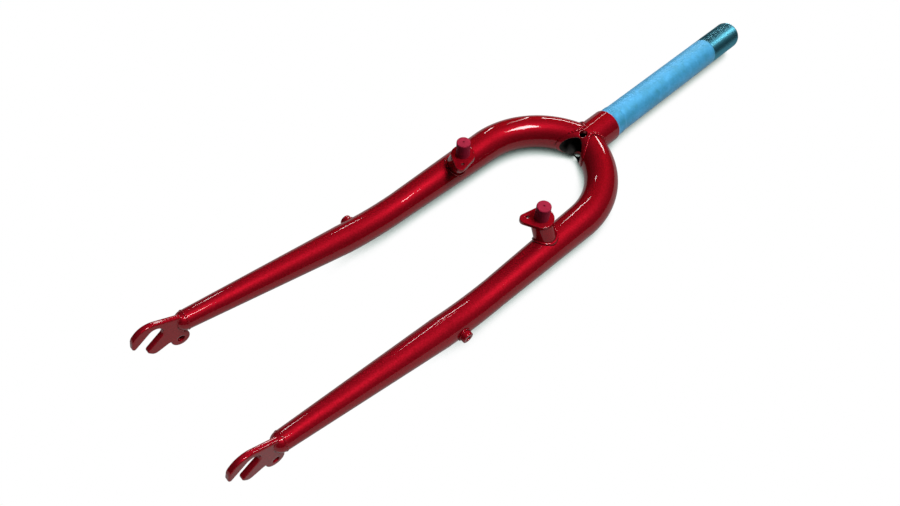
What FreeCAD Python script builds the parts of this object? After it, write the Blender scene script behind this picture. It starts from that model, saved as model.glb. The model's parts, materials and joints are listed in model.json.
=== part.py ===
import FreeCAD, Part
import math
import os
from FreeCAD import Vector

# Welded rigid bicycle fork, lying on its back as it rests.
# X is sideways (+X is the rider's left), Y runs up the steerer, Z points to the fork's front, which is up.
# The origin is on the steerer's axis at the crown race seat. All sizes are in millimetres.

# Steerer
steerer_od = 25.4
steerer_bore = 22.2
steerer_length = 183.0
thread_od = 24.9
thread_length = 40.0
thread_chamfer = 1.2
thread_runout = 0.8
keyway_width = 3.0
keyway_depth = 0.7
seat_od = 26.4
seat_height = 7.0
seat_lead = 2.5
collar_od = 28.8
collar_shoulder = 3.0
crown_hole = 6.4
crown_hole_drop = 5.0

# Wheel
axle_to_crown = 390.5
rake = 40.5
hub_spacing = 102.0

# Blades
crown_drop = 32.0
arch_radius = 68.0
bend_drop = 221.7
bend_radius = 240.0
axle_lead = 1.9
blade_od = 27.2
blade_od_bend = 22.7
blade_od_tip = 13.4
blade_wall = 1.2
tip_gap = 19.5

# Dropouts
plate = 4.2
plate_edge = 1.0
slot_width = 10.0
slot_tilt = 28.0
front_lip = 16.2
front_lip_width = 6.9
front_lip_turn = 8.5
front_lip_round = 7.0
shoulder_along = -3.0
shoulder_width = 8.0
shoulder_round = 12.0
rear_lip = 14.6
rear_lip_width = 7.2
rear_lip_round = 4.2
rear_tip_round = 2.4
lip_tip_round = 1.4
web_along = 4.7
web_behind = 16.0
web_round = 2.5
eyelet_along = -0.8
eyelet_behind = 21.8
eyelet_radius = 6.3
eyelet_hole = 5.0
spigot_length = 10.0

# Brake bosses
stud_spacing = 83.3
boss_drop = 136.7
spring_plate_front = 27.5
spring_plate = 3.0
spring_plate_radius = 9.5
spring_lobe_radius = 4.2
spring_lobe_in = 7.5
spring_lobe_down = 9.5
spring_hole = 2.6
spring_hole_in = 7.3
spring_hole_down = 7.3
neck_top_radius = 8.3
neck_foot_radius = 8.8
stud_od = 8.0
stud_length = 12.0
stud_root = 9.0
stud_tap = 5.0
stud_tap_depth = 12.0
cap_wall = 1.5
cap_end = 1.5
cap_edge = 0.9
cap_dimple = 1.6
cap_dimple_depth = 0.8

# Rack eyelets half way down the blades
rack_drop = 235.0
rack_od = 9.0
rack_proud = 4.0
rack_hole = 4.2
rack_hole_depth = 2.6
rack_edge = 0.6
drill_point = 1.25

# Welds
crown_bead = 1.8
crown_bead_clear = 0.5
tip_bead = 0.8
boss_bead = 1.3
rack_bead = 1.0

# Places worked out from the sizes above
blade_x = (hub_spacing + plate) / 2
rake_angle = math.atan2(rake - axle_lead, axle_to_crown - bend_drop)
blade_down = Vector(0, -math.cos(rake_angle), math.sin(rake_angle))
blade_front = Vector(0, math.sin(rake_angle), math.cos(rake_angle))
bend_half = bend_radius * math.tan(rake_angle / 2)
bend_point = Vector(blade_x, -bend_drop, 0)
bend_start = bend_point + Vector(0, bend_half, 0)
bend_end = bend_point + blade_down * bend_half
arch_turn = math.acos(1 - blade_x / arch_radius)
arch_drop = crown_drop + arch_radius * math.sin(arch_turn)
arch_foot = Vector(blade_x, -arch_drop, 0)
lower_run = (axle_to_crown - bend_drop) / math.cos(rake_angle) - tip_gap
blade_tip = bend_point + blade_down * lower_run
axle = Vector(blade_x, -axle_to_crown, rake)
spring_plate_back = spring_plate_front - spring_plate
up = Vector(0, 1, 0)
front = Vector(0, 0, 1)
side = Vector(1, 0, 0)


def mirrored(shape):
    """The same piece on the rider's right."""
    return shape.mirror(Vector(0, 0, 0), side)


def ring(centre, direction, radius):
    """Round section across the blade, its seam kept on the same side all the way."""
    across = direction.cross(front)
    across.normalize()
    over = across.cross(direction)
    turn = FreeCAD.Rotation(across, over, direction, "ZXY")
    circle = Part.Wire(Part.makeCircle(radius))
    circle.Placement = FreeCAD.Placement(centre, turn)
    return circle


def blade_solid(shrink):
    """Blade filled solid, its radius less by shrink: arch, straight taper, rake bend and lower taper."""
    arch_r = blade_od / 2 - shrink
    bend_r = blade_od_bend / 2 - shrink
    tip_r = blade_od_tip / 2 - shrink
    arch_centre = Vector(blade_x - arch_radius, -arch_drop, 0)
    arch = Part.Face(ring(arch_foot, up, arch_r)).revolve(arch_centre, front, math.degrees(arch_turn))
    straight = Part.makeCone(arch_r, bend_r, (bend_start - arch_foot).Length, arch_foot, -up)
    bend_centre = bend_start + front * bend_radius
    bend = Part.Face(ring(bend_start, -up, bend_r)).revolve(bend_centre, -side, math.degrees(rake_angle))
    lower = Part.makeCone(bend_r, tip_r, (blade_tip - bend_end).Length, bend_end, blade_down)
    return arch.multiFuse([straight, bend, lower])


def round_bar(centre, direction, radius, length):
    return Part.makeCylinder(radius, length, centre, direction)


def collar_core(swell):
    """Round bar through the crown that the blades are mitred to, its radius more by swell."""
    return round_bar(up * -arch_drop, up, collar_od / 2 + swell, arch_drop)


def collar_foot():
    """What is cut from the steerer's foot, so that it follows the blades' arch underneath."""
    proud = (collar_od - blade_od) / 2
    arch = blade_solid(-proud)
    block = round_bar(up * -2 * arch_drop, up, collar_od, 2 * arch_drop - crown_drop)
    return block.cut(arch).cut(mirrored(arch))


def crown_bore():
    """Bolt hole through the collar from front to back."""
    start = Vector(0, -crown_drop - crown_hole_drop, -collar_od)
    return round_bar(start, front, crown_hole / 2, 2 * collar_od)


def steerer_tube():
    plain = steerer_od / 2
    seat = seat_od / 2
    collar = collar_od / 2
    thread = thread_od / 2
    thread_start = steerer_length - thread_length
    bore = steerer_bore / 2
    profile = [
        (bore, steerer_length),
        (thread - thread_chamfer, steerer_length),
        (thread, steerer_length - thread_chamfer),
        (thread, thread_start),
        (plain, thread_start - thread_runout),
        (plain, seat_height + seat_lead),
        (seat, seat_height),
        (seat, 0),
        (collar, -collar_shoulder),
        (collar, -arch_drop),
        (bore, -arch_drop),
    ]
    points = [Vector(radius, height, 0) for radius, height in profile]
    tube = Part.Face(Part.makePolygon(points + points[:1])).revolve(Vector(0, 0, 0), up, 360)
    keyway = Part.makeBox(keyway_width, thread_length, steerer_od)
    keyway.translate(Vector(-keyway_width / 2, thread_start, -thread + keyway_depth - steerer_od))
    return tube.cut(collar_foot()).cut(crown_bore()).cut(keyway)


def blade(outer):
    return outer.cut(blade_solid(blade_wall)).cut(collar_core(0))


def rounded_outline(corners):
    """Closed wire through corners (point, radius), each rounded by a tangent arc."""
    edges = []
    starts = []
    ends = []
    for index, (point, radius) in enumerate(corners):
        back = corners[index - 1][0] - point
        ahead = corners[(index + 1) % len(corners)][0] - point
        half = back.getAngle(ahead) / 2
        back.normalize()
        ahead.normalize()
        reach = radius / math.tan(half)
        first = point + back * reach
        last = point + ahead * reach
        middle = back + ahead
        middle.normalize()
        crest = point + middle * (radius / math.sin(half) - radius)
        if radius > 0:
            edges.append(Part.Arc(first, crest, last).toShape())
        starts.append(first)
        ends.append(last)
    for index in range(len(corners)):
        following = starts[(index + 1) % len(corners)]
        if (following - ends[index]).Length > 0.001:
            edges.append(Part.LineSegment(ends[index], following).toShape())
    return Part.Wire(Part.__sortEdges__(edges))


def dropout():
    """Forged plate: open axle slot between two lips, eyelet behind, round spigot in the blade's end."""
    tilt = math.radians(slot_tilt)
    mouth = Vector(0, -math.cos(tilt), -math.sin(tilt))
    ahead = Vector(0, -math.sin(tilt), math.cos(tilt))
    inner = axle - side * (plate / 2)

    def place(along, forward):
        return inner + mouth * along + ahead * forward

    half_slot = slot_width / 2
    crest = half_slot + front_lip_width
    heel = half_slot + rear_lip_width
    tip_radius = blade_od_tip / 2
    root = blade_tip - side * (plate / 2) + blade_down * plate_edge
    root_half = tip_radius - plate_edge
    corners = [
        (root + blade_front * root_half, 0),
        (place(shoulder_along, half_slot + shoulder_width), shoulder_round),
        (place(front_lip_turn, crest), front_lip_round),
        (place(front_lip, half_slot), lip_tip_round),
        (place(-half_slot, half_slot), half_slot),
        (place(-half_slot, -half_slot), half_slot),
        (place(rear_lip, -half_slot), rear_tip_round),
        (place(rear_lip, -heel), rear_lip_round),
        (place(web_along, -web_behind), web_round),
        (place(eyelet_along, -eyelet_behind), 0),
        (root - blade_front * root_half, 0),
    ]
    blank = Part.Face(rounded_outline(corners)).extrude(side * plate)
    eyelet = place(eyelet_along, -eyelet_behind)
    blank = blank.fuse(round_bar(eyelet, side, eyelet_radius, plate))
    blank = blank.removeSplitter()
    rim = [edge for edge in blank.Edges if edge.BoundBox.XLength < 0.01]
    blank = blank.makeFillet(plate_edge, rim)
    blank = blank.cut(round_bar(eyelet - side, side, eyelet_hole / 2, plate + 2))
    nose = Part.makeSphere(tip_radius, blade_tip, blade_down, 0, 90, 360)
    spigot = round_bar(blade_tip - blade_down * spigot_length, blade_down, tip_radius - blade_wall, spigot_length)
    return blank.multiFuse([nose, spigot]).removeSplitter()


def boss_neck(swell):
    """Neck leaning from under the spring plate to the blade's axis, its radius more by swell."""
    centre = Vector(stud_spacing / 2, -boss_drop, spring_plate_back)
    foot = Vector(blade_x, -boss_drop, 0)
    lean = foot - centre
    lean.normalize()
    start = centre - lean * neck_top_radius
    length = (foot - start).Length
    neck = Part.makeCone(neck_top_radius + swell, neck_foot_radius + swell, length, start, lean)
    above = round_bar(centre, front, 2 * neck_foot_radius, spring_plate_front)
    return neck.cut(above)


def brake_boss(outer):
    """Neck standing on the blade's front and the spring plate on top of it."""
    centre = Vector(stud_spacing / 2, -boss_drop, spring_plate_back)
    neck = boss_neck(0).cut(outer)
    disc = round_bar(centre, front, spring_plate_radius, spring_plate)
    lobe_centre = centre - Vector(spring_lobe_in, spring_lobe_down, 0)
    lobe = round_bar(lobe_centre, front, spring_lobe_radius, spring_plate)
    web = tangent_web(centre, spring_plate_radius, lobe_centre, spring_lobe_radius, spring_plate)
    boss = neck.multiFuse([disc, lobe, web]).removeSplitter()
    hole_centre = centre - Vector(spring_hole_in, spring_hole_down, 0)
    boss = boss.cut(round_bar(hole_centre, front, spring_hole / 2, spring_plate))
    root = centre + front * (spring_plate - stud_root)
    return boss.cut(round_bar(root, front, stud_od / 2, stud_root))


def tangent_web(big, big_radius, small, small_radius, height):
    """Straight-sided web between two upright discs, along their common tangents."""
    line = small - big
    spread = math.acos((big_radius - small_radius) / line.Length)
    heading = math.atan2(line.y, line.x)
    corners = []
    for centre, radius, sign in ((big, big_radius, 1), (small, small_radius, 1),
                                 (small, small_radius, -1), (big, big_radius, -1)):
        angle = heading + sign * spread
        corners.append(centre + Vector(math.cos(angle), math.sin(angle), 0) * radius)
    return Part.Face(Part.makePolygon(corners + corners[:1])).extrude(front * height)


def brake_stud():
    root = Vector(stud_spacing / 2, -boss_drop, spring_plate_front - stud_root)
    stud = round_bar(root, front, stud_od / 2, stud_root + stud_length)
    top = root + front * (stud_root + stud_length - stud_tap_depth)
    return stud.cut(round_bar(top, front, stud_tap / 2, stud_tap_depth))


def stud_cap():
    base = Vector(stud_spacing / 2, -boss_drop, spring_plate_front)
    height = stud_length + cap_end
    cap = round_bar(base, front, stud_od / 2 + cap_wall, height)
    rim = [edge for edge in cap.Edges if edge.BoundBox.ZMin > base.z + stud_length]
    cap = cap.makeFillet(cap_edge, rim)
    cap = cap.cut(round_bar(base, front, stud_od / 2, stud_length))
    dimple = base + front * (height - cap_dimple_depth)
    return cap.cut(round_bar(dimple, front, cap_dimple / 2, cap_dimple_depth))


def rack_centre():
    """Point on the blade's axis beside the rack eyelet."""
    past = rack_drop - bend_drop + bend_half
    if past < bend_radius * math.sin(rake_angle):
        rise = bend_radius - math.sqrt(bend_radius ** 2 - max(past, 0) ** 2)
    else:
        rise = (rack_drop - bend_drop) * math.tan(rake_angle)
    return Vector(blade_x, -rack_drop, rise)


def rack_bar(swell):
    return round_bar(rack_centre(), side, rack_od / 2 + swell, blade_od_bend / 2 + rack_proud)


def rack_eyelet(outer):
    """Round boss on the blade's side with a blind tapped hole that ends in a drill point."""
    centre = rack_centre()
    boss = rack_bar(0)
    rim = [edge for edge in boss.Edges if edge.BoundBox.XMin > centre.x + rack_proud]
    boss = boss.makeFillet(rack_edge, rim).cut(outer)
    mouth = centre + side * (blade_od_bend / 2 + rack_proud)
    floor = mouth - side * rack_hole_depth
    hole = round_bar(floor, side, rack_hole / 2, rack_hole_depth)
    point = Part.makeCone(rack_hole / 2, 0, drill_point, floor, -side)
    return boss.cut(hole.fuse(point))


def crown_weld(outer):
    """Weld bead round the blade's top, kept off the middle where the bolt hole is."""
    swollen = blade_solid(-crown_bead)
    bead = swollen.common(collar_core(crown_bead)).cut(collar_core(0))
    land = crown_hole / 2 + crown_bead_clear
    middle = Part.makeBox(2 * collar_od, arch_drop, 2 * collar_od)
    middle.translate(Vector(land - 2 * collar_od, -arch_drop, -collar_od))
    return bead.cut(outer).cut(middle)


def boss_braze(outer):
    """Braze fillet round the neck's foot on the blade."""
    swollen = blade_solid(-boss_bead)
    skirt = boss_neck(boss_bead)
    return skirt.common(swollen).cut(outer).cut(boss_neck(0))


def rack_braze(outer):
    """Braze ring round the rack eyelet's foot on the blade."""
    swollen = blade_solid(-rack_bead)
    skirt = rack_bar(rack_bead)
    return skirt.common(swollen).cut(outer).cut(rack_bar(0))


def tip_weld(outer, drop):
    """Weld ring round the blade's end, where the dropout's spigot goes in."""
    ring_bead = Part.makeTorus(blade_od_tip / 2, tip_bead, blade_tip, blade_down)
    return ring_bead.cut(outer).cut(drop)


def main():
    os.makedirs("parts", exist_ok=True)
    outer = blade_solid(0)
    drop = dropout()
    pieces = {
        "crown_weld": crown_weld(outer),
        "dropout_weld": tip_weld(outer, drop),
        "boss_braze": boss_braze(outer),
        "rack_braze": rack_braze(outer),
        "blade": blade(outer),
        "dropout": drop,
        "brake_boss": brake_boss(outer),
        "brake_stud": brake_stud(),
        "stud_cap": stud_cap(),
        "rack_eyelet": rack_eyelet(outer),
    }
    steerer_tube().exportStep("parts/steerer_tube.step")
    for name, shape in pieces.items():
        shape.exportStep("parts/left_" + name + ".step")
        mirrored(shape).exportStep("parts/right_" + name + ".step")


main()
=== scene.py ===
import bpy
import json
import math
from mathutils import Matrix, Vector


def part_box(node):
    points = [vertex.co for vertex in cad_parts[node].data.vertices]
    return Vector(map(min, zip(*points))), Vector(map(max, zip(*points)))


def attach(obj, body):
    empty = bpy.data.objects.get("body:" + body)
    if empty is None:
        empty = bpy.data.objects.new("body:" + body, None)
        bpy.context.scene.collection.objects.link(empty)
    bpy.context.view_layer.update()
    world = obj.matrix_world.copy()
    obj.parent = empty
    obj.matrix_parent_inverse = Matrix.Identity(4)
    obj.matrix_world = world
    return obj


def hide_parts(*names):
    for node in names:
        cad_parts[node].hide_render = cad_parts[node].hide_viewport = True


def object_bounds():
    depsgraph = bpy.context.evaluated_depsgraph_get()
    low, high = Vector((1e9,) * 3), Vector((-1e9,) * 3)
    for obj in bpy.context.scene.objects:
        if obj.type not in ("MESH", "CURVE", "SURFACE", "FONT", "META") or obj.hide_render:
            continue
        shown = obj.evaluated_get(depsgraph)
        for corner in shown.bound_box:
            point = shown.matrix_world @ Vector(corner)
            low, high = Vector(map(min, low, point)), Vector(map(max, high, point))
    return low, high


# Looks of a welded rigid bicycle fork that lies on its back: gloss candy red paint, a bare
# steerer with a bluish film, a threaded end, rippled welds and dull caps on the brake studs.
# Metres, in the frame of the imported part: X sideways, Y up the steerer, Z to the fork's front,
# which is up.

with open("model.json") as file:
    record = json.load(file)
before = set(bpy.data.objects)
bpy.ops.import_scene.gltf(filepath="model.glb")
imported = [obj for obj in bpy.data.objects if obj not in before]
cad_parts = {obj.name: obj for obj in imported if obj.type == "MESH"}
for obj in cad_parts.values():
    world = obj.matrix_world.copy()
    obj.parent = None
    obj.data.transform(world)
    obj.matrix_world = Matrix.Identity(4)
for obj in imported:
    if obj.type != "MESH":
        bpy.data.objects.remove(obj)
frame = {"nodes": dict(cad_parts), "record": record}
cad_low, cad_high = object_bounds()
nodes = frame["nodes"]
mounts = {mount["name"]: mount for mount in frame["record"]["mounts"]}
MM = 0.001
SIDES = {"left_": 1, "right_": -1}

# Sizes of the crown that the weld ripples follow, rounded from the part's source
COLLAR_RADIUS = 14.4 * MM
BLADE_RADIUS = 13.6 * MM
BLADE_X = 53.1 * MM
ARCH_RADIUS = 68.0 * MM
ARCH_DROP = 98.3 * MM

# Weld ripples
CROWN_BEAD = 1.75 * MM
CROWN_PITCH = 2.7 * MM
CROWN_THIN_START = -34 * MM
CROWN_THIN_RUN = 16 * MM
CROWN_THIN_SHARE = 0.6
TIP_BEAD = 0.8 * MM
TIP_PITCH = 1.7 * MM
TIP_SINK = 0.4 * MM
RIPPLE_DEPTH = 0.22
RINGS_PER_RIPPLE = 8
BEAD_SIDES = 14
LOOP_STEPS = 720

# Unevenness of the weld's drops: the size, the turn for each drop and the start of two waves
UNEVEN_WAVES = [(0.06, 1.7, 0.0), (0.04, 3.1, 1.0)]

# Screw thread on the steerer's top
THREAD_PITCH = 25.4 / 24 * MM
THREAD_CREST = 12.7 * MM
THREAD_START = 142.6 * MM
THREAD_SINK = 0.05 * MM
KEYWAY_HALF_ANGLE = math.radians(8.5)
STEPS_PER_TURN = 72
RIDGE_POINTS = 3

# Where the steerer's finish changes, and its finishes in the order of its materials; inside the
# bore it is painted shade
BORE_EDGE = 11.2 * MM
PAINT_EDGE = -2.9 * MM
PAINTED, FILMED, THREADED, BORED = range(4)

# Colours, as stops on a ramp
PAINT_COLOURS = [(0.3, (0.19, 0.002, 0.006)), (0.7, (0.28, 0.0035, 0.012))]
FILM_COLOURS = [
    (0.3, (0.03, 0.24, 0.38)),
    (0.55, (0.045, 0.31, 0.56)),
    (0.75, (0.07, 0.38, 0.68)),
]
THREAD_COLOURS = [(0.3, (0.03, 0.15, 0.20)), (0.7, (0.05, 0.20, 0.26))]
# Inside the steerer's bore: near black, painted shade with a faint random mottle
BORE_SHADE_COLOURS = [(0.35, (0.012, 0.012, 0.012)), (0.7, (0.045, 0.04, 0.036))]
STUD_COLOURS = [(0.3, (0.45, 0.45, 0.47)), (0.7, (0.62, 0.62, 0.64))]
CAP_COLOURS = [(0.3, (0.24, 0.007, 0.028)), (0.7, (0.33, 0.012, 0.040))]
SHADOW_COLOURS = [
    (0.2, (0.02, 0.03, 0.025)),
    (0.4, (0.5, 0.58, 0.55)),
    (0.54, (1.0, 1.0, 1.0)),
]

# Paint
EDGE_SOFTNESS = 1.2 * MM
EDGE_SAMPLES = 16
PAINT_EDGE_TINT = (0.1, 0.0, 0.0, 1.0)

# Studs
GROOVE_STRETCH = (1.0, 1.0, 30.0)

# Floor
FLOOR_HALF = 6.0
FLOOR_COLOUR = (0.08, 0.085, 0.083, 1.0)
SHADOW_REACH = 24 * MM

# Light, with the name, azimuth, height, width and length, and strength of each lamp
LAMP_CENTRE = Vector((0, -70, 10)) * MM
LAMP_DISTANCE = 5.0
LAMPS = [
    ("overhead", 120, 71, (1.6, 1.3), 48.0),
    ("window_1", -109, 30, (0.16, 0.6), 34.0),
    ("window_2", -127, 26, (0.12, 1.3), 34.0),
    ("window_3", -148, 22, (0.9, 0.45), 34.0),
    ("window_4", -166, 28, (0.5, 0.75), 34.0),
    ("window_5", -138, 24, (0.07, 2.7), 24.0),
]
ROOM_COLOUR = (0.95, 1.0, 1.0, 1.0)
ROOM_LIGHT = 0.05

# Camera, in the photo's frame of 900 by 506
IMAGE_WIDTH = 900
FOCAL_PIXELS = 660.12
SENSOR = 36.0
NEAR_CLIP = 10 * MM
CAMERA_PLACE = Vector((202.853, -390.467, 410.811)) * MM
CAMERA_YAW = -0.78653
CAMERA_PITCH = 0.97707
CAMERA_ROLL = 0.04069


def new_material(name):
    """Material with its node tree and its Principled shader."""
    material = bpy.data.materials.new(name)
    material.use_nodes = True
    tree = material.node_tree
    return material, tree, tree.nodes["Principled BSDF"]


def object_place(tree):
    """Place on the object, for noise to follow."""
    return tree.nodes.new("ShaderNodeTexCoord").outputs["Object"]


def noise(tree, place, scale, detail=3.0, roughness=0.5):
    """Noise from 0 to 1 over the object."""
    node = tree.nodes.new("ShaderNodeTexNoise")
    node.inputs["Scale"].default_value = scale
    node.inputs["Detail"].default_value = detail
    node.inputs["Roughness"].default_value = roughness
    tree.links.new(place, node.inputs["Vector"])
    return node.outputs["Fac"]


def ramp(tree, factor, stops):
    """Colour ramp through (position, colour) stops."""
    node = tree.nodes.new("ShaderNodeValToRGB")
    elements = node.color_ramp.elements
    while len(elements) < len(stops):
        elements.new(0.5)
    for element, (position, colour) in zip(elements, stops):
        element.position = position
        element.color = (*colour, 1.0)
    tree.links.new(factor, node.inputs["Fac"])
    return node.outputs["Color"]


def tint(tree, shader, factor, stops):
    """Base colour that follows factor along a ramp."""
    tree.links.new(ramp(tree, factor, stops), shader.inputs["Base Color"])


def roughen(tree, shader, factor, low, high):
    """Roughness from low to high as factor goes from 0 to 1."""
    node = tree.nodes.new("ShaderNodeMapRange")
    node.inputs["To Min"].default_value = low
    node.inputs["To Max"].default_value = high
    tree.links.new(factor, node.inputs["Value"])
    tree.links.new(node.outputs["Result"], shader.inputs["Roughness"])


def bump(tree, shader, height, strength, distance):
    """Fine relief in the shader's normal."""
    node = tree.nodes.new("ShaderNodeBump")
    node.inputs["Strength"].default_value = strength
    node.inputs["Distance"].default_value = distance
    tree.links.new(height, node.inputs["Height"])
    tree.links.new(node.outputs["Normal"], shader.inputs["Normal"])


def larger(tree, first, second):
    """Larger of two numbers."""
    node = tree.nodes.new("ShaderNodeMath")
    node.operation = "MAXIMUM"
    tree.links.new(first, node.inputs[0])
    tree.links.new(second, node.inputs[1])
    return node.outputs["Value"]


def candy_red():
    """Deep red paint with fine flakes under a clear gloss coat, its edges softened."""
    material, tree, shader = new_material("candy_red")
    place = object_place(tree)
    tint(tree, shader, noise(tree, place, scale=900.0, detail=2.0), PAINT_COLOURS)
    roughen(tree, shader, noise(tree, place, scale=45.0), low=0.5, high=0.58)
    shader.inputs["Metallic"].default_value = 0.7
    shader.inputs["Specular IOR Level"].default_value = 0.0
    shader.inputs["Specular Tint"].default_value = PAINT_EDGE_TINT
    shader.inputs["Coat Weight"].default_value = 0.42
    shader.inputs["Coat Roughness"].default_value = 0.035
    soft = tree.nodes.new("ShaderNodeBevel")
    soft.samples = EDGE_SAMPLES
    soft.inputs["Radius"].default_value = EDGE_SOFTNESS
    tree.links.new(soft.outputs["Normal"], shader.inputs["Normal"])
    tree.links.new(soft.outputs["Normal"], shader.inputs["Coat Normal"])
    return material


def filmed_steel():
    """Bare steel tube under a dull, mottled bluish film."""
    material, tree, shader = new_material("steerer_steel")
    place = object_place(tree)
    mottle = noise(tree, place, scale=120.0, detail=6.0, roughness=0.65)
    tint(tree, shader, mottle, FILM_COLOURS)
    grain = noise(tree, place, scale=900.0)
    roughen(tree, shader, grain, low=0.45, high=0.65)
    shader.inputs["Metallic"].default_value = 0.35
    bump(tree, shader, grain, strength=0.12, distance=0.3 * MM)
    return material


def threaded_steel():
    """Dark shiny steel of the cut thread."""
    material, tree, shader = new_material("thread_steel")
    smear = noise(tree, object_place(tree), scale=60.0, detail=2.0)
    tint(tree, shader, smear, THREAD_COLOURS)
    roughen(tree, shader, smear, low=0.32, high=0.4)
    shader.inputs["Metallic"].default_value = 0.9
    return material


def bore_steel_in_painted_shade():
    """Raw steel inside the steerer, coloured near black as painted shade in the bore, with a faint
    random mottle.
    """
    material, tree, shader = new_material("bore_steel_in_painted_shade")
    # Near-black base colour: painted shade inside the bore, mottled at random
    bore_mottle = noise(tree, object_place(tree), scale=200.0, detail=5.0)
    tint(tree, shader, bore_mottle, BORE_SHADE_COLOURS)
    roughen(tree, shader, bore_mottle, low=0.5, high=0.7)
    shader.inputs["Metallic"].default_value = 0.5
    return material


def turned_steel():
    """Plain turned steel of the studs under the caps."""
    material, tree, shader = new_material("stud_steel")
    stretch = tree.nodes.new("ShaderNodeMapping")
    stretch.inputs["Scale"].default_value = GROOVE_STRETCH
    tree.links.new(object_place(tree), stretch.inputs["Vector"])
    grooves = noise(tree, stretch.outputs["Vector"], scale=120.0)
    tint(tree, shader, grooves, STUD_COLOURS)
    roughen(tree, shader, grooves, low=0.25, high=0.4)
    shader.inputs["Metallic"].default_value = 1.0
    bump(tree, shader, grooves, strength=0.1, distance=0.2 * MM)
    return material


def dull_cap():
    """Soft matte crimson plastic."""
    material, tree, shader = new_material("cap_plastic")
    place = object_place(tree)
    mottle = noise(tree, place, scale=500.0, detail=4.0)
    tint(tree, shader, mottle, CAP_COLOURS)
    roughen(tree, shader, mottle, low=0.62, high=0.75)
    shader.inputs["Specular IOR Level"].default_value = 0.1
    bump(tree, shader, noise(tree, place, scale=1500.0), strength=0.08, distance=0.2 * MM)
    return material


def pale_floor():
    """White to the eye and in the paint's reflections, with a soft shadow under the fork.
    To the rest of the light it is a dim matt floor."""
    material, tree, shader = new_material("floor")
    shader.inputs["Base Color"].default_value = FLOOR_COLOUR
    shader.inputs["Roughness"].default_value = 0.9
    shader.inputs["Specular IOR Level"].default_value = 0.0
    rays = tree.nodes.new("ShaderNodeLightPath").outputs
    seen = larger(tree, rays["Is Camera Ray"], rays["Is Glossy Ray"])
    seen = larger(tree, seen, rays["Is Transmission Ray"])
    open_sky = tree.nodes.new("ShaderNodeAmbientOcclusion")
    open_sky.inputs["Distance"].default_value = SHADOW_REACH
    white = tree.nodes.new("ShaderNodeEmission")
    shade = ramp(tree, open_sky.outputs["AO"], SHADOW_COLOURS)
    tree.links.new(shade, white.inputs["Color"])
    mix = tree.nodes.new("ShaderNodeMixShader")
    tree.links.new(seen, mix.inputs["Fac"])
    tree.links.new(shader.outputs["BSDF"], mix.inputs[1])
    tree.links.new(white.outputs["Emission"], mix.inputs[2])
    tree.links.new(mix.outputs["Shader"], tree.nodes["Material Output"].inputs["Surface"])
    return material


def add(name, data):
    """New object in the scene."""
    item = bpy.data.objects.new(name, data)
    bpy.context.scene.collection.objects.link(item)
    return item


def add_mesh(name, points, faces, material):
    """New mesh in the scene, of one material."""
    mesh = bpy.data.meshes.new(name)
    mesh.from_pydata(points, [], faces)
    mesh.materials.append(material)
    return add(name, mesh)


def mesh_piece(name, points, faces, material):
    """New piece of the look that moves with the fork."""
    piece = add_mesh(name, points, faces, material)
    piece.data.shade_smooth()
    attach(piece, "root")
    return piece


def ripple(run, pitch):
    """Share of the bead's radius at a distance along it: a lobe for each drop, a little uneven."""
    drop = run / pitch
    count = math.floor(drop)
    lobe = 1 - (2 * (drop % 1.0) - 1) ** 2
    uneven = sum(size * math.sin(turn * count + start) for size, turn, start in UNEVEN_WAVES)
    return 1 - RIPPLE_DEPTH + (RIPPLE_DEPTH + uneven) * lobe


def crown_thinning(centre):
    """Share of the crown bead's size: the bead runs out thin on the inside of the arch."""
    below = (CROWN_THIN_START - centre.y) / CROWN_THIN_RUN
    return 1 - CROWN_THIN_SHARE * min(1.0, max(0.0, below))


def even_size(centre):
    """Share of a bead's size that is the same all round."""
    return 1.0


def rippled_bead(name, loop, radius, pitch, thinning, material):
    """Closed weld bead along loop, a function of the angle that gives its centre line."""
    line = [loop(2 * math.pi * step / LOOP_STEPS) for step in range(LOOP_STEPS + 1)]
    middle = sum(line[:-1], Vector()) / LOOP_STEPS
    runs = [0.0]
    for first, second in zip(line, line[1:]):
        runs.append(runs[-1] + (second - first).length)
    drops = round(runs[-1] / pitch)
    even_pitch = runs[-1] / drops
    rings = drops * RINGS_PER_RIPPLE
    points = []
    index = 0
    for ring in range(rings):
        run = runs[-1] * ring / rings
        while runs[index + 1] < run:
            index += 1
        along = (line[index + 1] - line[index]).normalized()
        centre = line[index] + along * (run - runs[index])
        out = (centre - middle).normalized()
        out = (out - along * out.dot(along)).normalized()
        over = along.cross(out)
        reach = radius * ripple(run, even_pitch) * thinning(centre)
        for side in range(BEAD_SIDES):
            angle = 2 * math.pi * side / BEAD_SIDES
            aside = out * (reach * math.cos(angle))
            points.append(centre + aside + over * (reach * math.sin(angle)))
    faces = []
    for ring in range(rings):
        here = ring * BEAD_SIDES
        there = (ring + 1) % rings * BEAD_SIDES
        for side in range(BEAD_SIDES):
            after = (side + 1) % BEAD_SIDES
            faces.append((here + side, there + side, there + after, here + after))
    return mesh_piece(name, points, faces, material)


def crown_line(sign):
    """Line between the collar and one blade's arch, as a function of the angle round the blade."""
    def loop(angle):
        z = BLADE_RADIUS * math.sin(angle)
        x = math.sqrt(COLLAR_RADIUS ** 2 - z ** 2)
        reach = ARCH_RADIUS + BLADE_RADIUS * math.cos(angle)
        y = math.sqrt(reach ** 2 - (x - BLADE_X + ARCH_RADIUS) ** 2) - ARCH_DROP
        return Vector((sign * x, y, z))
    return loop


def tip_line(node):
    """Circle a little inside the middle of a blade's end weld, from the box of the CAD ring."""
    low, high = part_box(node)
    centre = (low + high) / 2
    radius = (high.x - low.x) / 2 - TIP_BEAD - TIP_SINK
    lean = math.atan2(high.y - low.y - 2 * TIP_BEAD, high.z - low.z - 2 * TIP_BEAD)

    def loop(angle):
        across = Vector((1, 0, 0)) * (radius * math.cos(angle))
        over = Vector((0, math.sin(lean), math.cos(lean))) * (radius * math.sin(angle))
        return centre + across + over
    return loop


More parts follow.
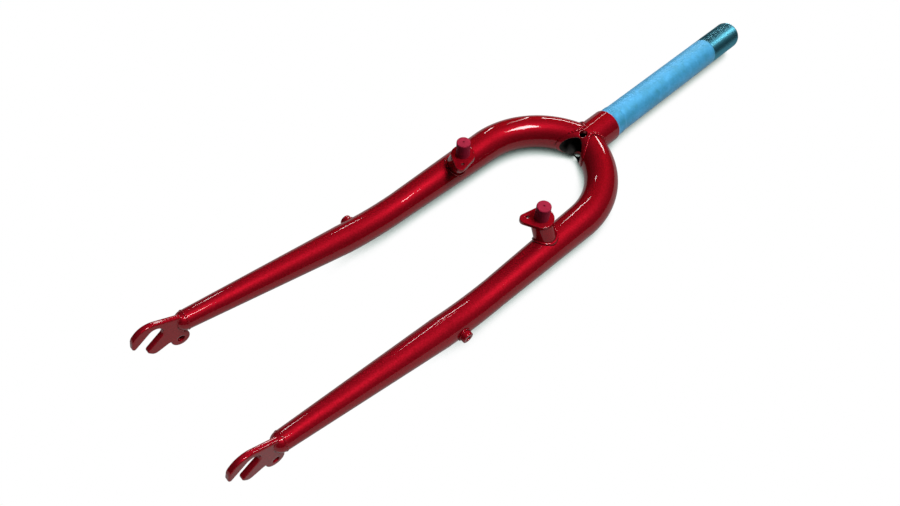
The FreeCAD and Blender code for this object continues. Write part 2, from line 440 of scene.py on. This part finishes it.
def thread_ridge(material):
    """Screw thread on the steerer's top, a rising turn at a time, open at the keyway behind."""
    thread = mounts["steerer_thread"]
    root = thread["dims"]["r_mm"] * MM - THREAD_SINK
    end = thread["pos_m"][1] + thread["dims"]["length_mm"] / 2 * MM
    half = THREAD_PITCH / 2
    rise = Vector((0, half, 0))
    turns = int((end - half - THREAD_START - half) / THREAD_PITCH)
    first_angle = -math.pi / 2 + KEYWAY_HALF_ANGLE
    sweep = 2 * (math.pi - KEYWAY_HALF_ANGLE)
    points = []
    faces = []
    for turn in range(turns):
        for step in range(STEPS_PER_TURN + 1):
            share = step / STEPS_PER_TURN
            angle = first_angle + sweep * share
            out = Vector((math.cos(angle), 0, math.sin(angle)))
            lift = Vector((0, THREAD_START + half + (turn + share) * THREAD_PITCH, 0))
            base = len(points)
            points.append(out * root + lift - rise)
            points.append(out * THREAD_CREST + lift)
            points.append(out * root + lift + rise)
            if step:
                before = base - RIDGE_POINTS
                for one, two in ((0, 1), (1, 2), (2, 0)):
                    faces.append((before + one, before + two, base + two, base + one))
        last = len(points) - RIDGE_POINTS
        start = last - RIDGE_POINTS * STEPS_PER_TURN
        faces.append((start, start + 2, start + 1))
        faces.append((last, last + 1, last + 2))
    piece = mesh_piece("steerer_thread_ridge", points, faces, material)
    piece.data.shade_flat()


def steerer_zone(face):
    """Which finish a face of the steerer has."""
    centre = face.center
    if math.hypot(centre.x, centre.z) < BORE_EDGE:
        return BORED
    if centre.y < PAINT_EDGE:
        return PAINTED
    return FILMED if centre.y < THREAD_START else THREADED


def dress(red, film, thread, bore_in_shade, stud, cap):
    """Materials on the CAD nodes. The steerer's change at its race seat, its thread and inside,
    the bore in painted shade.
    """
    for name, node in nodes.items():
        node.data.materials.clear()
        if name.endswith("brake_stud"):
            node.data.materials.append(stud)
        elif name.endswith("stud_cap"):
            node.data.materials.append(cap)
        elif name == "steerer_tube":
            for material in (red, film, thread, bore_in_shade):
                node.data.materials.append(material)
            for face in node.data.polygons:
                face.material_index = steerer_zone(face)
        else:
            node.data.materials.append(red)


def place_camera():
    """Camera of the photo: its place, its heading and its focal length in pixels."""
    level = math.cos(CAMERA_PITCH)
    ahead = Vector((
        math.sin(CAMERA_YAW) * level,
        math.cos(CAMERA_YAW) * level,
        -math.sin(CAMERA_PITCH),
    ))
    right = ahead.cross(Vector((0, 0, 1))).normalized()
    above = right.cross(ahead)
    turned_right = right * math.cos(CAMERA_ROLL) + above * math.sin(CAMERA_ROLL)
    turned_above = above * math.cos(CAMERA_ROLL) - right * math.sin(CAMERA_ROLL)
    data = bpy.data.cameras.new("camera")
    data.sensor_fit = "HORIZONTAL"
    data.sensor_width = SENSOR
    data.lens = SENSOR * FOCAL_PIXELS / IMAGE_WIDTH
    data.clip_start = NEAR_CLIP
    camera = add("camera", data)
    turn = Matrix((turned_right, turned_above, -ahead)).transposed()
    camera.matrix_world = Matrix.Translation(CAMERA_PLACE) @ turn.to_4x4()
    bpy.context.scene.camera = camera


def lamp(name, azimuth, height, size, strength):
    """Rectangular lamp that faces the fork. Azimuth 0 is at -Y and 90 at +X, height is above the
    level, both in degrees, and strength is the power of a square metre of it over pi."""
    turn = math.radians(azimuth)
    rise = math.radians(height)
    away = Vector((
        math.sin(turn) * math.cos(rise),
        -math.cos(turn) * math.cos(rise),
        math.sin(rise),
    ))
    data = bpy.data.lights.new(name, "AREA")
    data.shape = "RECTANGLE"
    data.size, data.size_y = size
    data.energy = strength * math.pi * size[0] * size[1]
    light = add(name, data)
    facing = (-away).to_track_quat("-Z", "Y").to_matrix().to_4x4()
    light.matrix_world = Matrix.Translation(LAMP_CENTRE + away * LAMP_DISTANCE) @ facing


def place_lights():
    """A wide lamp overhead and a row of windows beyond the fork, in a dim room."""
    for row in LAMPS:
        lamp(*row)
    world = bpy.data.worlds.new("world")
    world.use_nodes = True
    background = world.node_tree.nodes["Background"]
    background.inputs["Color"].default_value = ROOM_COLOUR
    background.inputs["Strength"].default_value = ROOM_LIGHT
    bpy.context.scene.world = world


def place_floor():
    """Square floor at the part's lowest point."""
    half = FLOOR_HALF
    low = cad_low.z
    points = [(-half, -half, low), (half, -half, low), (half, half, low), (-half, half, low)]
    floor = add_mesh("floor", points, [(0, 1, 2, 3)], pale_floor())


paint = candy_red()
thread_metal = threaded_steel()
dress(paint, filmed_steel(), thread_metal, bore_steel_in_painted_shade(), turned_steel(), dull_cap())
for side_name, side_sign in SIDES.items():
    crown_weld = side_name + "crown_weld"
    tip_weld = side_name + "dropout_weld"
    crown_loop = crown_line(side_sign)
    tip_loop = tip_line(tip_weld)
    bead = rippled_bead(
        crown_weld + "_ripples", crown_loop, CROWN_BEAD, CROWN_PITCH, crown_thinning, paint)
    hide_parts(crown_weld)
    bead = rippled_bead(tip_weld + "_ripples", tip_loop, TIP_BEAD, TIP_PITCH, even_size, paint)
    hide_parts(tip_weld)
thread_ridge(thread_metal)
place_floor()
place_lights()
place_camera()
bpy.context.scene.view_settings.view_transform = "Standard"
